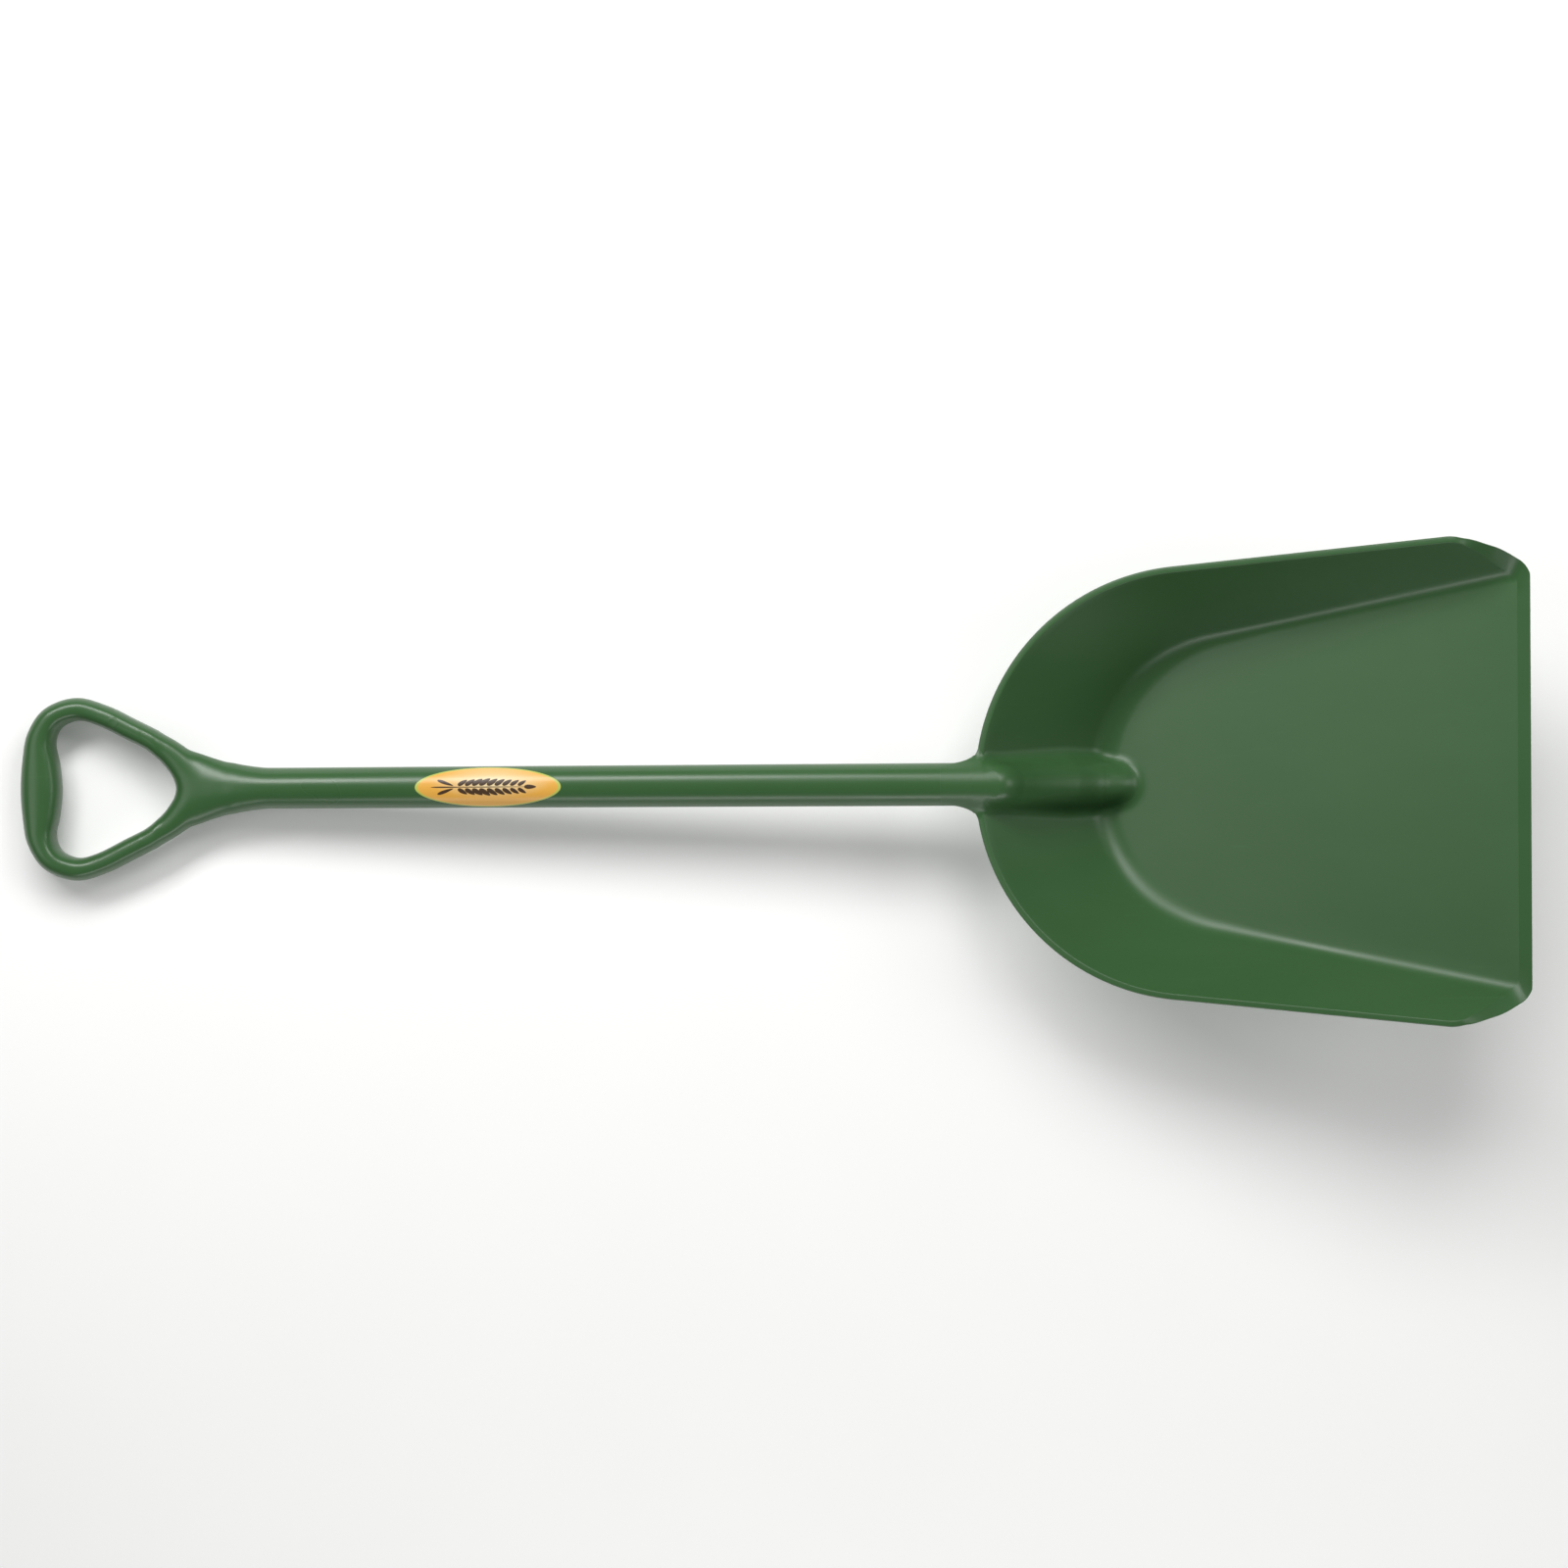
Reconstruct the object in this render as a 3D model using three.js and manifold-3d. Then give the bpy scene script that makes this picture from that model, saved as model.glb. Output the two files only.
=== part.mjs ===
// Grain scoop shovel: a deep flared scoop on a round hollow handle with a D grip, all in green plastic.
// Millimetres, +Z up. The shovel lies on its heel and its grip bar on the ground, with the open side up.
// +X runs along the shovel towards the scoop's lip. The origin is under the middle of its bounding box.
import * as THREE from "three";
import { ParametricGeometry } from "three/addons/geometries/ParametricGeometry.js";
import { mergeVertices } from "three/addons/utils/BufferGeometryUtils.js";
import Module from "manifold-3d";

const wasm = await Module();
wasm.setup();
const degrees = THREE.MathUtils.degToRad;

// ---------- Driving dimensions ----------

// Scoop. Its own frame has X forward along the flat floor, Z up from the floor's top face,
// and X = 0 at the back of the flat floor.
const scoop = {
  wall: 4.5, // thickness of the floor and the walls
  floorBackRadius: 104, // round back of the flat floor, seen from above
  sideSpread: degrees(10.3), // each side of the floor turns outwards by this much
  wallLean: degrees(30), // the walls lean outwards from upright by this much
  cornerRadius: 14, // inside radius where the walls meet the floor
  lipX: 322, // front edge of the lip
  lipEdge: 1, // thickness that the bevelled lip keeps at its edge
  bevelWidth: 9.5, // width of the bevel along the lip's top
  rimBackHeight: 100.5, // rim above the floor, where the handle crosses it
  cheekX: 278, // where the rim ends and the front cut starts
  cheekHeight: 46.5, // rim above the floor there
};

// Handle. It crosses the back wall just under the rim and rises backwards by the lift angle.
const handle = {
  underRim: 3.5, // from the rim down to the handle's axis, where the axis meets the back wall's inner face
  lift: degrees(20.2), // between the shaft and the scoop's floor
  frontRadius: 16, // outside of the shaft at the scoop
  rearRadius: 15.4, // outside of the shaft at the grip
  wall: 5, // wall of the hollow shaft
  neckLength: 33, // from the crossing point back to the front joint
  shaftLength: 500,
  spigotLength: 38, // each moulding's spigot inside the shaft's bore
  spigotWall: 4,
  jointGap: 0.3, // clearance at both joints
};

// Socket: the end of the handle, which runs down inside the back wall to a round nose on the floor.
const socket = {
  noseX: 22, // tip of the nose on the floor
  noseRadius: 21,
  wall: 4.5,
  flareLength: 17, // the neck flares into the rim over this length
  flareRadius: 18,
};

// Grip, in the plane of the handle, measured forwards from the outer end of the bar.
const grip = {
  length: 196, // bar's outer end to the rear joint
  halfSpan: 69.3, // half of the width over both corners
  barWidth: 31,
  barHalfDepth: 16,
  armWidth: 17.2,
  armTurn: degrees(26.8), // between each arm and the handle's axis
  armHalfDepth: 13,
  crotch: 119.3, // front end of the hand hole
  holeHalfSpan: 51.8,
  channelRadius: 4.2, // gas channel inside the loop
};

const plug = { along: 73, inset: 9, radius: 5, depth: 5, gap: 0.3 }; // inset: from the arm's outer edge

const label = {
  length: 110,
  wrap: degrees(70), // half of the angle that it covers round the shaft
  fromRearJoint: 162,
  thickness: 0.4,
  gap: 0.3,
};

const facets = { outlineArc: 36, corner: 6, round: 24, ring: 60, station: 22, bore: 24 };

// ---------- Helpers ----------

// A closed three.js geometry as a manifold-3d solid.
function solid(geometry) {
  const shape = geometry.clone();
  shape.deleteAttribute("normal");
  shape.deleteAttribute("uv");
  const merged = mergeVertices(shape, 1e-4);
  const corners = merged.index.array;
  const kept = [];
  for (let i = 0; i < corners.length; i += 3) {
    const [a, b, c] = [corners[i], corners[i + 1], corners[i + 2]];
    if (a !== b && b !== c && c !== a) kept.push(a, b, c);
  }
  return new wasm.Manifold(
    new wasm.Mesh({
      numProp: 3,
      vertProperties: merged.attributes.position.array,
      triVerts: new Uint32Array(kept),
      tolerance: 0.01, // cuts leave no edge shorter than this
    }),
  );
}

// A manifold-3d solid back as a three.js geometry.
function geometryOf(body) {
  const mesh = body.getMesh();
  const places = new Float32Array(mesh.numVert * 3);
  for (let i = 0; i < mesh.numVert; i++) {
    const start = i * mesh.numProp;
    places.set(mesh.vertProperties.subarray(start, start + 3), i * 3);
  }
  const geometry = new THREE.BufferGeometry();
  geometry.setAttribute("position", new THREE.BufferAttribute(places, 3));
  geometry.setIndex(new THREE.BufferAttribute(new Uint32Array(mesh.triVerts), 1));
  geometry.computeVertexNormals();
  return geometry;
}

// A closed body of stacked rings. ringPoint(i, j) gives point i of ring j, and each end closes on its ring's middle.
function stackedRings(pointsPerRing, ringCount, ringPoint, middleOf) {
  const shape = (u, v, target) => {
    const i = Math.round(u * pointsPerRing) % pointsPerRing;
    const j = Math.round(v * (ringCount + 1)) - 1;
    const end = j < 0 || j >= ringCount;
    target.copy(end ? middleOf(j < 0 ? 0 : ringCount - 1) : ringPoint(i, j));
  };
  return new ParametricGeometry(shape, pointsPerRing, ringCount + 1);
}

// A cylinder along X, from one X to another.
function rodAlongX(radius, fromX, toX) {
  const rod = new THREE.CylinderGeometry(radius, radius, toX - fromX, facets.bore);
  rod.rotateZ(Math.PI / 2);
  rod.translate((fromX + toX) / 2, 0, 0);
  return rod;
}

// ---------- Scoop ----------

// The floor's outline grown outwards by some distance, run round from the front left corner by the back.
function floorOutline(grow, frontX) {
  const { floorBackRadius, sideSpread } = scoop;
  const radius = floorBackRadius + grow;
  const points = [];
  for (let i = 0; i <= facets.outlineArc; i++) {
    const turn = Math.PI / 2 + sideSpread + (i / facets.outlineArc) * (Math.PI - 2 * sideSpread);
    points.push(new THREE.Vector2(floorBackRadius + radius * Math.cos(turn), radius * Math.sin(turn)));
  }
  const sideY = (from) => from.y + Math.sign(from.y) * (frontX - from.x) * Math.tan(sideSpread);
  const left = points[0];
  const right = points[points.length - 1];
  return [new THREE.Vector2(frontX, sideY(left)), ...points, new THREE.Vector2(frontX, sideY(right))];
}

// The floor, corner and wall as [height, growth of the outline], on a face that lies outside the inner one.
function wallProfile(outside, topZ) {
  const radius = scoop.cornerRadius + outside;
  const turnOfWall = Math.PI / 2 - scoop.wallLean;
  const profile = [];
  for (let i = 0; i <= facets.corner; i++) {
    const turn = (i / facets.corner) * turnOfWall;
    profile.push([scoop.cornerRadius - radius * Math.cos(turn), radius * Math.sin(turn)]);
  }
  const [endZ, endGrow] = profile[profile.length - 1];
  profile.push([topZ, endGrow + (topZ - endZ) * Math.tan(scoop.wallLean)]);
  return profile;
}

// The solid inside one face of the scoop, taller and longer than the scoop itself.
function tub(outside) {
  const profile = wallProfile(outside, scoop.rimBackHeight + 60);
  const frontX = scoop.lipX + 30;
  const rings = profile.map(([z, grow]) => floorOutline(grow, frontX).map((p) => new THREE.Vector3(p.x, p.y, z)));
  return solid(
    stackedRings(
      rings[0].length,
      rings.length,
      (i, j) => rings[j][i],
      (j) => new THREE.Vector3(scoop.floorBackRadius, 0, profile[j][0]),
    ),
  );
}

// A slab over everything above the rim and in front of the lip, as a side view extruded across the scoop.
function rimAndFrontCutter() {
  const slope = (scoop.rimBackHeight - scoop.cheekHeight) / (scoop.cheekX - crossing.x);
  const farBack = crossing.x - 120;
  const far = scoop.lipX + 200;
  const rimAt = (x) => scoop.rimBackHeight - slope * (x - crossing.x);
  const softening = 5;
  const bevelX = scoop.lipX - scoop.bevelWidth;
  const side = new THREE.Shape();
  side.moveTo(farBack, rimAt(farBack));
  side.lineTo(scoop.cheekX - softening, rimAt(scoop.cheekX - softening));
  side.quadraticCurveTo(scoop.cheekX, scoop.cheekHeight, scoop.cheekX + softening, scoop.cheekHeight - 4);
  side.quadraticCurveTo(bevelX - 8, 0.56 * scoop.cheekHeight, bevelX, 0.05);
  side.lineTo(scoop.lipX, scoop.lipEdge - scoop.wall);
  side.lineTo(scoop.lipX, -50);
  side.lineTo(far, -50);
  side.lineTo(far, 400);
  side.lineTo(farBack, 400);
  const width = 600;
  const slab = new THREE.ExtrudeGeometry(side, { depth: width, bevelEnabled: false, curveSegments: 8 });
  slab.rotateX(Math.PI / 2);
  slab.translate(0, width / 2, 0);
  return solid(slab);
}

// X of the back wall's inner face at a height over the floor.
function backWallX(z) {
  const profile = wallProfile(0, scoop.rimBackHeight);
  const [endZ, endGrow] = profile[profile.length - 2];
  return -endGrow - (z - endZ) * Math.tan(scoop.wallLean);
}

// The crossing point, where the handle's axis meets the inner face of the back wall.
const crossingHeight = scoop.rimBackHeight - handle.underRim;
const crossing = new THREE.Vector3(backWallX(crossingHeight), 0, crossingHeight);

// A round body along a line in the XZ plane. radii holds its radius, in x, at the line's own points.
function roundBody(line, radii, shrink, toShare) {
  const placeOn = (i, j) => {
    const share = (j / facets.station) * toShare;
    const along = line.getTangent(share);
    const radius = radii.getPoint(share).x - shrink;
    const turn = (2 * Math.PI * i) / facets.round;
    return line
      .getPoint(share)
      .addScaledVector(new THREE.Vector3(-along.z, 0, along.x), radius * Math.sin(turn))
      .add(new THREE.Vector3(0, radius * Math.cos(turn), 0));
  };
  const middle = (j) => line.getPoint((j / facets.station) * toShare);
  return solid(stackedRings(facets.round, facets.station + 1, placeOn, middle));
}

// The crossing point's neighbours along the handle: X and Z at a distance behind it.
function onShaftAxis(behind) {
  return new THREE.Vector3(
    crossing.x - behind * Math.cos(handle.lift),
    0,
    crossing.z + behind * Math.sin(handle.lift),
  );
}

// The socket's centre line: in along the handle, then down the inner face of the back wall to the nose.
function socketLine() {
  const wallPoint = (share, forward) => {
    const z = share * crossing.z;
    return new THREE.Vector3(backWallX(z) + forward, 0, z);
  };
  return new THREE.CatmullRomCurve3([
    onShaftAxis(12),
    onShaftAxis(0),
    onShaftAxis(-9),
    wallPoint(0.85, 5),
    wallPoint(0.69, 2),
    wallPoint(0.5, 0),
    wallPoint(0.32, 0),
    new THREE.Vector3(-13, 0, 13),
    new THREE.Vector3(socket.noseX - socket.noseRadius, 0, 0),
  ]);
}

function socketRadii() {
  const { noseRadius } = socket;
  const { frontRadius } = handle;
  const radii = [frontRadius, frontRadius, frontRadius, frontRadius, 17, 18.5, 20, noseRadius, noseRadius];
  return new THREE.CatmullRomCurve3(radii.map((radius) => new THREE.Vector3(radius, 0, 0)));
}

// How far in front of the crossing a line above the handle's axis meets the outer face of the back wall.
function reachOfWall(above) {
  const lean = Math.tan(scoop.wallLean);
  const [[z, grow]] = wallProfile(scoop.wall, scoop.rimBackHeight).slice(-1);
  const sine = Math.sin(handle.lift);
  const cosine = Math.cos(handle.lift);
  const startX = crossing.x + above * sine;
  const startZ = crossing.z + above * cosine;
  return (-grow - (startZ - z) * lean - startX) / (cosine - sine * lean);
}

// The fillet that carries the neck out into the back wall, like a trumpet's mouth.
function neckFlare() {
  const { flareLength, flareRadius } = socket;
  const steps = 8;
  const intoWall = scoop.wall / 2;
  const placeOn = (i, j) => {
    const along = (Math.min(j, steps) / steps) * flareLength;
    const radius = handle.frontRadius - 0.4 + flareRadius - Math.sqrt(flareRadius ** 2 - along ** 2);
    const turn = (2 * Math.PI * i) / facets.round;
    const above = radius * Math.sin(turn);
    const forward = reachOfWall(above) - flareLength + along + (j > steps ? intoWall : 0);
    const up = new THREE.Vector3(Math.sin(handle.lift), 0, Math.cos(handle.lift));
    return onShaftAxis(-forward)
      .addScaledVector(up, above)
      .add(new THREE.Vector3(0, radius * Math.cos(turn), 0));
  };
  const middle = (j) => onShaftAxis(-reachOfWall(0) + (j ? -intoWall : flareLength));
  return solid(stackedRings(facets.round, steps + 2, placeOn, middle));
}

// A geometry made along the handle, with X = 0 at the crossing point, turned into the scoop's frame.
function turnedToHandle(geometry) {
  geometry.rotateY(handle.lift);
  geometry.translate(crossing.x, crossing.y, crossing.z);
  return geometry;
}

const boreRadius = handle.rearRadius - handle.wall;
const spigotRadius = boreRadius - handle.jointGap;
const channelRadius = spigotRadius - handle.spigotWall;

// The neck and the socket, and the hollow inside both.
function socketSolids(inside, outside) {
  const line = socketLine();
  const radii = socketRadii();
  const joint = -handle.neckLength;
  const rod = (radius, from, to) => solid(turnedToHandle(rodAlongX(radius, from, to)));
  const ball = new THREE.SphereGeometry(socket.noseRadius, facets.round, facets.round / 2);
  ball.translate(socket.noseX - socket.noseRadius, 0, 0);
  const raised = roundBody(line, radii, 0, 1).add(solid(ball)).intersect(outside);
  const neck = rod(handle.frontRadius, joint, 25).subtract(inside);
  const hollow = roundBody(line, radii, socket.wall, 0.9).intersect(inside);
  const bore = rod(handle.frontRadius - socket.wall, joint + 9, 6);
  const spigot = rod(spigotRadius, joint - handle.spigotLength, joint + 5);
  const channel = rod(channelRadius, joint - handle.spigotLength - 5, joint + 14);
  return { body: raised.add(neck), spigot, hollow: hollow.add(bore).add(channel) };
}

function scoopGeometry() {
  const inside = tub(0);
  const outside = tub(scoop.wall);
  const cutter = rimAndFrontCutter();
  const shell = outside.subtract(inside).subtract(cutter);
  const flare = neckFlare().subtract(inside).subtract(cutter);
  const { body, spigot, hollow } = socketSolids(inside, outside);
  return geometryOf(shell.add(flare).add(body).add(spigot).subtract(hollow));
}

// ---------- Shaft ----------

const frontJoint = -handle.neckLength - handle.jointGap;
const rearJoint = frontJoint - handle.shaftLength;

function shaftGeometry() {
  const profile = [
    new THREE.Vector2(boreRadius, rearJoint),
    new THREE.Vector2(handle.rearRadius, rearJoint),
    new THREE.Vector2(handle.frontRadius, frontJoint),
    new THREE.Vector2(boreRadius, frontJoint),
    new THREE.Vector2(boreRadius, rearJoint),
  ];
  const tube = new THREE.LatheGeometry(profile, facets.round);
  tube.rotateZ(-Math.PI / 2);
  return tube;
}

// ---------- Grip ----------

const gripJoint = rearJoint - handle.jointGap;
const gripEnd = gripJoint - grip.length;

// Straight outer edge of an arm: how far aside it is.
const armOut = (along) => grip.halfSpan - (along - 52) * Math.tan(grip.armTurn);

// One half of the loop as pairs of points: outer outline, hand hole. Each is [forwards from the bar's end, aside].
function loopPairs() {
  const { halfSpan, holeHalfSpan, barWidth, crotch, armWidth } = grip;
  const armIn = (along) => armOut(along) - armWidth / Math.cos(grip.armTurn);
  return [
    [[0, 0], [barWidth, 0]],
    [[1.5, 22], [barWidth - 2, 20]],
    [[5.5, 42], [barWidth - 5, 35]],
    [[18, halfSpan - 8.8], [barWidth - 1, 46]],
    [[42, halfSpan], [44, holeHalfSpan]],
    [[66, armOut(66) + 1], [58, holeHalfSpan - 3.2]],
    [[88, armOut(88) + 1.5], [80, armIn(80) + 2]],
    [[110, armOut(110) + 1.5], [99, armIn(99) + 1.5]],
    [[128, 30], [113, 13]],
    [[146, 0], [crotch, 0]],
  ];
}

// A closed curve through one side's points and their mirror images.
function closedCurve(points) {
  const there = points.map(([x, y]) => new THREE.Vector3(x, y, 0));
  const back = points.slice(1, -1).reverse();
  return new THREE.CatmullRomCurve3([...there, ...back.map(([x, y]) => new THREE.Vector3(x, -y, 0))], true);
}

// The loop: an oval section carried round between the two outlines. shrink leaves a wall for the channel.
function loopSolid(sectionRadius) {
  const pairs = loopPairs();
  const outer = closedCurve(pairs.map((pair) => pair[0]));
  const inner = closedCurve(pairs.map((pair) => pair[1]));
  const shape = (u, v, target) => {
    const from = outer.getPoint(u % 1);
    const to = inner.getPoint(u % 1);
    const turn = 2 * Math.PI * (v % 1);
    const middle = from.clone().add(to).multiplyScalar(0.5);
    const half = to.clone().sub(from).multiplyScalar(0.5);
    const nearBar = THREE.MathUtils.smoothstep(60 - middle.x, 0, 40);
    const depth = THREE.MathUtils.lerp(grip.armHalfDepth, grip.barHalfDepth, nearBar);
    if (sectionRadius) half.setLength(sectionRadius);
    target.copy(middle).addScaledVector(half, Math.cos(turn));
    target.z = (sectionRadius || depth) * Math.sin(turn);
    target.x += gripEnd;
  };
  return solid(new ParametricGeometry(shape, facets.ring, sectionRadius ? 10 : 20));
}

// The yoke: it narrows from the arms to the round joint on the shaft.
function yokeSolid() {
  const sizes = new THREE.CatmullRomCurve3([
    new THREE.Vector3(grip.crotch + 4, 29, 10),
    new THREE.Vector3(grip.crotch + 13, 29.5, 12.5),
    new THREE.Vector3(147, 24.3, 14),
    new THREE.Vector3(162, 19.7, 14.8),
    new THREE.Vector3(177, 16.8, 15.2),
    new THREE.Vector3(grip.length, handle.rearRadius, handle.rearRadius),
  ]);
  const steps = 20;
  const placeOn = (i, j) => {
    const size = sizes.getPoint(j / steps);
    const turn = (2 * Math.PI * i) / facets.round;
    return new THREE.Vector3(gripEnd + size.x, size.y * Math.cos(turn), size.z * Math.sin(turn));
  };
  const middle = (j) => new THREE.Vector3(gripEnd + sizes.getPoint(j / steps).x, 0, 0);
  return solid(stackedRings(facets.round, steps + 1, placeOn, middle));
}

// A round pin down into the arm at the plug's place.
function plugPin(radius, depth) {
  const top = grip.armHalfDepth + 2;
  const pin = new THREE.CylinderGeometry(radius, radius, top - (grip.armHalfDepth - depth), facets.bore);
  pin.rotateX(Math.PI / 2);
  pin.translate(gripEnd + plug.along, armOut(plug.along) - plug.inset, (top + grip.armHalfDepth - depth) / 2);
  return solid(pin);
}

function gripSolids() {
  const whole = loopSolid(0).add(yokeSolid());
  const spigot = solid(rodAlongX(spigotRadius, gripJoint - 10, gripJoint + handle.spigotLength));
  const channel = solid(rodAlongX(channelRadius, gripEnd + 133, gripJoint + handle.spigotLength + 5));
  const pocket = plugPin(plug.radius, plug.depth);
  const body = whole.add(spigot).subtract(channel).subtract(loopSolid(grip.channelRadius)).subtract(pocket);
  const pin = plugPin(plug.radius - plug.gap, plug.depth - plug.gap).intersect(whole);
  return { body, pin };
}

// ---------- Label ----------

function labelGeometry() {
  const middle = rearJoint + label.fromRearJoint;
  const radiusAt = (x) => THREE.MathUtils.mapLinear(x, rearJoint, frontJoint, handle.rearRadius, handle.frontRadius);
  const skin = (lift) => {
    const [from, to] = [middle - label.length, middle + label.length];
    const sleeve = new THREE.CylinderGeometry(radiusAt(to) + lift, radiusAt(from) + lift, to - from, 2 * facets.round);
    sleeve.rotateZ(-Math.PI / 2);
    sleeve.translate(middle, 0, 0);
    return solid(sleeve);
  };
  const halfWidth = radiusAt(middle) * Math.sin(label.wrap);
  const oval = new THREE.Shape().absellipse(middle, 0, label.length / 2, halfWidth, 0, 2 * Math.PI);
  const prism = solid(new THREE.ExtrudeGeometry(oval, { depth: 40, bevelEnabled: false, curveSegments: 24 }));
  return geometryOf(skin(label.gap + label.thickness).subtract(skin(label.gap)).intersect(prism));
}

// ---------- Assembly ----------

const greenPlastic = new THREE.MeshStandardMaterial({ color: 0x2f5c2c, roughness: 0.35, metalness: 0 });
const plugPlastic = new THREE.MeshStandardMaterial({ color: 0x2c582a, roughness: 0.4, metalness: 0 });
const labelFilm = new THREE.MeshStandardMaterial({ color: 0xf2b53c, roughness: 0.3, metalness: 0 });

function piece(name, geometry, material) {
  const mesh = new THREE.Mesh(geometry, material);
  mesh.name = name;
  return mesh;
}

const { body: gripBody, pin: plugBody } = gripSolids();

const handleGroup = new THREE.Group();
handleGroup.rotation.y = handle.lift;
handleGroup.position.copy(crossing);
handleGroup.add(piece("shaft_tube", shaftGeometry(), greenPlastic));
handleGroup.add(piece("d_grip", geometryOf(gripBody), greenPlastic));
handleGroup.add(piece("gas_pin_plug", geometryOf(plugBody), plugPlastic));
handleGroup.add(piece("shaft_label", labelGeometry(), labelFilm));

const shovel = new THREE.Group();
shovel.add(piece("scoop_blade", scoopGeometry(), greenPlastic));
shovel.add(handleGroup);

// It lies on the heel's outer corner and on the underside of the grip bar.
function lyingAngle() {
  const heel = new THREE.Vector2(0, scoop.cornerRadius);
  const heelRadius = scoop.cornerRadius + scoop.wall;
  const bar = gripEnd + grip.barWidth / 2;
  const barX = crossing.x + bar * Math.cos(handle.lift);
  const barZ = crossing.z - bar * Math.sin(handle.lift);
  const span = new THREE.Vector2(barX, barZ).sub(heel);
  return Math.PI - Math.asin((grip.barHalfDepth - heelRadius) / span.length()) - span.angle();
}

shovel.rotation.y = -lyingAngle();
shovel.updateMatrixWorld(true);
const bounds = new THREE.Box3().setFromObject(shovel, true);
shovel.position.set(-(bounds.min.x + bounds.max.x) / 2, 0, -bounds.min.z);

const part = new THREE.Group();
part.add(shovel);

export default part;
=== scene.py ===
import math

import bmesh
import bpy
import numpy as np
from mathutils import Matrix, Vector
from mathutils.bvhtree import BVHTree


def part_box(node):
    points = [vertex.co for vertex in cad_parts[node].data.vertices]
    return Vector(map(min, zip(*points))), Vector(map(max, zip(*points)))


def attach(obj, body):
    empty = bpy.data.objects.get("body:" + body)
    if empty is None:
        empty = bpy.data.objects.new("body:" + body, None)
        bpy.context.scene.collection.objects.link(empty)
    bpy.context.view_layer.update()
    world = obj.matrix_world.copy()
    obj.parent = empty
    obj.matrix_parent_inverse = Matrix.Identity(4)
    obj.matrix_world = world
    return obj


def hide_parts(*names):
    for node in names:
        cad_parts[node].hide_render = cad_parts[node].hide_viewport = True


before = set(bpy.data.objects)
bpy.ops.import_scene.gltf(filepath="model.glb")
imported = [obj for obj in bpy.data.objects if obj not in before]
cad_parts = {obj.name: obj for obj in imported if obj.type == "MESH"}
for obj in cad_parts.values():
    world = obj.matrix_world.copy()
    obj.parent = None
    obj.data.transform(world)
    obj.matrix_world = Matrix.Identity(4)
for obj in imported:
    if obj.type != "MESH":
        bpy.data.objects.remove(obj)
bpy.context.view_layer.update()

# Lengths are in millimetres while a piece is being shaped, and settle() puts it into the frame in metres.


# how the shovel lies, and how the handle sits on the scoop
lie = {
    "tilt": math.radians(24.3511),  # slope of the scoop's floor over the ground
    "handleLift": math.radians(20.2),  # between the handle and the scoop's floor
    "underRim": 3.5,  # the handle's axis crosses the back wall this far under the rim
}

scoop = {
    "wall": 4.5,
    "backRadius": 104.0,
    "sideSpread": math.radians(10.3),
    "wallLean": math.radians(30),
    "cornerRadius": 14.0,  # on the outside it is larger by the wall
    "backCorner": 23.0,  # inside radius round the back
    "sideCorner": 13.0,  # inside radius along the sides
    "crease": math.radians(7),  # the floor meets the side corners with this small crease
    "lipX": 322.0,
    "lipEdge": 1.0,
    "bevelWidth": 8.5,
    "rimBackHeight": 100.5,
    "cheekX": 278.0,
    "cheekHeight": 46.5,
    "cheekSoftening": 5.0,
    # the slanted front in side view: the outside runs on round the lip's corner, the inside ends at the bevel
    "insideFront": [(283, 42.5), (288.3, 36), (293.3, 28), (297.8, 18.8), (302.7, 9.4), (308, 2.2), (313.5, 0)],
    "outsideFront": [
        (283, 42.5), (289, 39), (296, 32.8), (302.6, 25.2), (309, 17.2), (315, 7.6), (318.2, 2.2), (320.6, -1.6),
        (322, -3.5),
    ],
    # a row that starts at the first x on the inside ends at the second on the outside
    "rowSkew": [
        (283, 283), (288.3, 290.5), (293.3, 297), (297.8, 303), (302.7, 309), (308, 315), (313.5, 319.3),
        (318, 321.2), (322, 322),
    ],
    "rimRound": 1.2,  # radius along both edges of the rim
    "floorSteps": 14,
    "cornerSteps": 12,
    "wallSteps": 18,
    "roundSteps": 4,
}


# helpers that several pieces use

def splineThrough(knots, count, closed=False):
    # centripetal Catmull-Rom line through the knots, sampled evenly in its parameter
    knots = np.array(knots, dtype=float)
    total = len(knots)
    spans = total if closed else total - 1
    points = []
    for t in np.linspace(0, spans, count, endpoint=not closed):
        i = min(int(t), spans - 1)
        share = t - i

        def knot(k):
            if closed:
                return knots[k % total]
            if k < 0:
                return 2 * knots[0] - knots[1]
            if k >= total:
                return 2 * knots[-1] - knots[-2]
            return knots[k]

        a, b, c, d = (knot(i + k) for k in (-1, 0, 1, 2))
        gaps = [max(np.linalg.norm(q - p) ** 0.5, 1e-4) for p, q in ((a, b), (b, c), (c, d))]
        leave = ((b - a) / gaps[0] - (c - a) / (gaps[0] + gaps[1]) + (c - b) / gaps[1]) * gaps[1]
        arrive = ((c - b) / gaps[1] - (d - b) / (gaps[1] + gaps[2]) + (d - c) / gaps[2]) * gaps[1]
        s2, s3 = share * share, share ** 3
        points.append(
            b * (2 * s3 - 3 * s2 + 1) + leave * (s3 - 2 * s2 + share) + c * (3 * s2 - 2 * s3) + arrive * (s3 - s2)
        )
    return np.array(points)


def smoothStep(value, low, high):
    share = np.clip((value - low) / (high - low), 0, 1)
    return share * share * (3 - 2 * share)


def mouldSheet(bm, across, along, placeAt):
    # a flat grid, each of whose points moves to its place on the piece
    grid = bmesh.ops.create_grid(bm, x_segments=across, y_segments=along, size=1)
    for vert in grid["verts"]:
        i = round((vert.co.x + 1) / 2 * across)
        j = round((vert.co.y + 1) / 2 * along)
        vert.co = placeAt(i, j)
    return grid["verts"]


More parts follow.
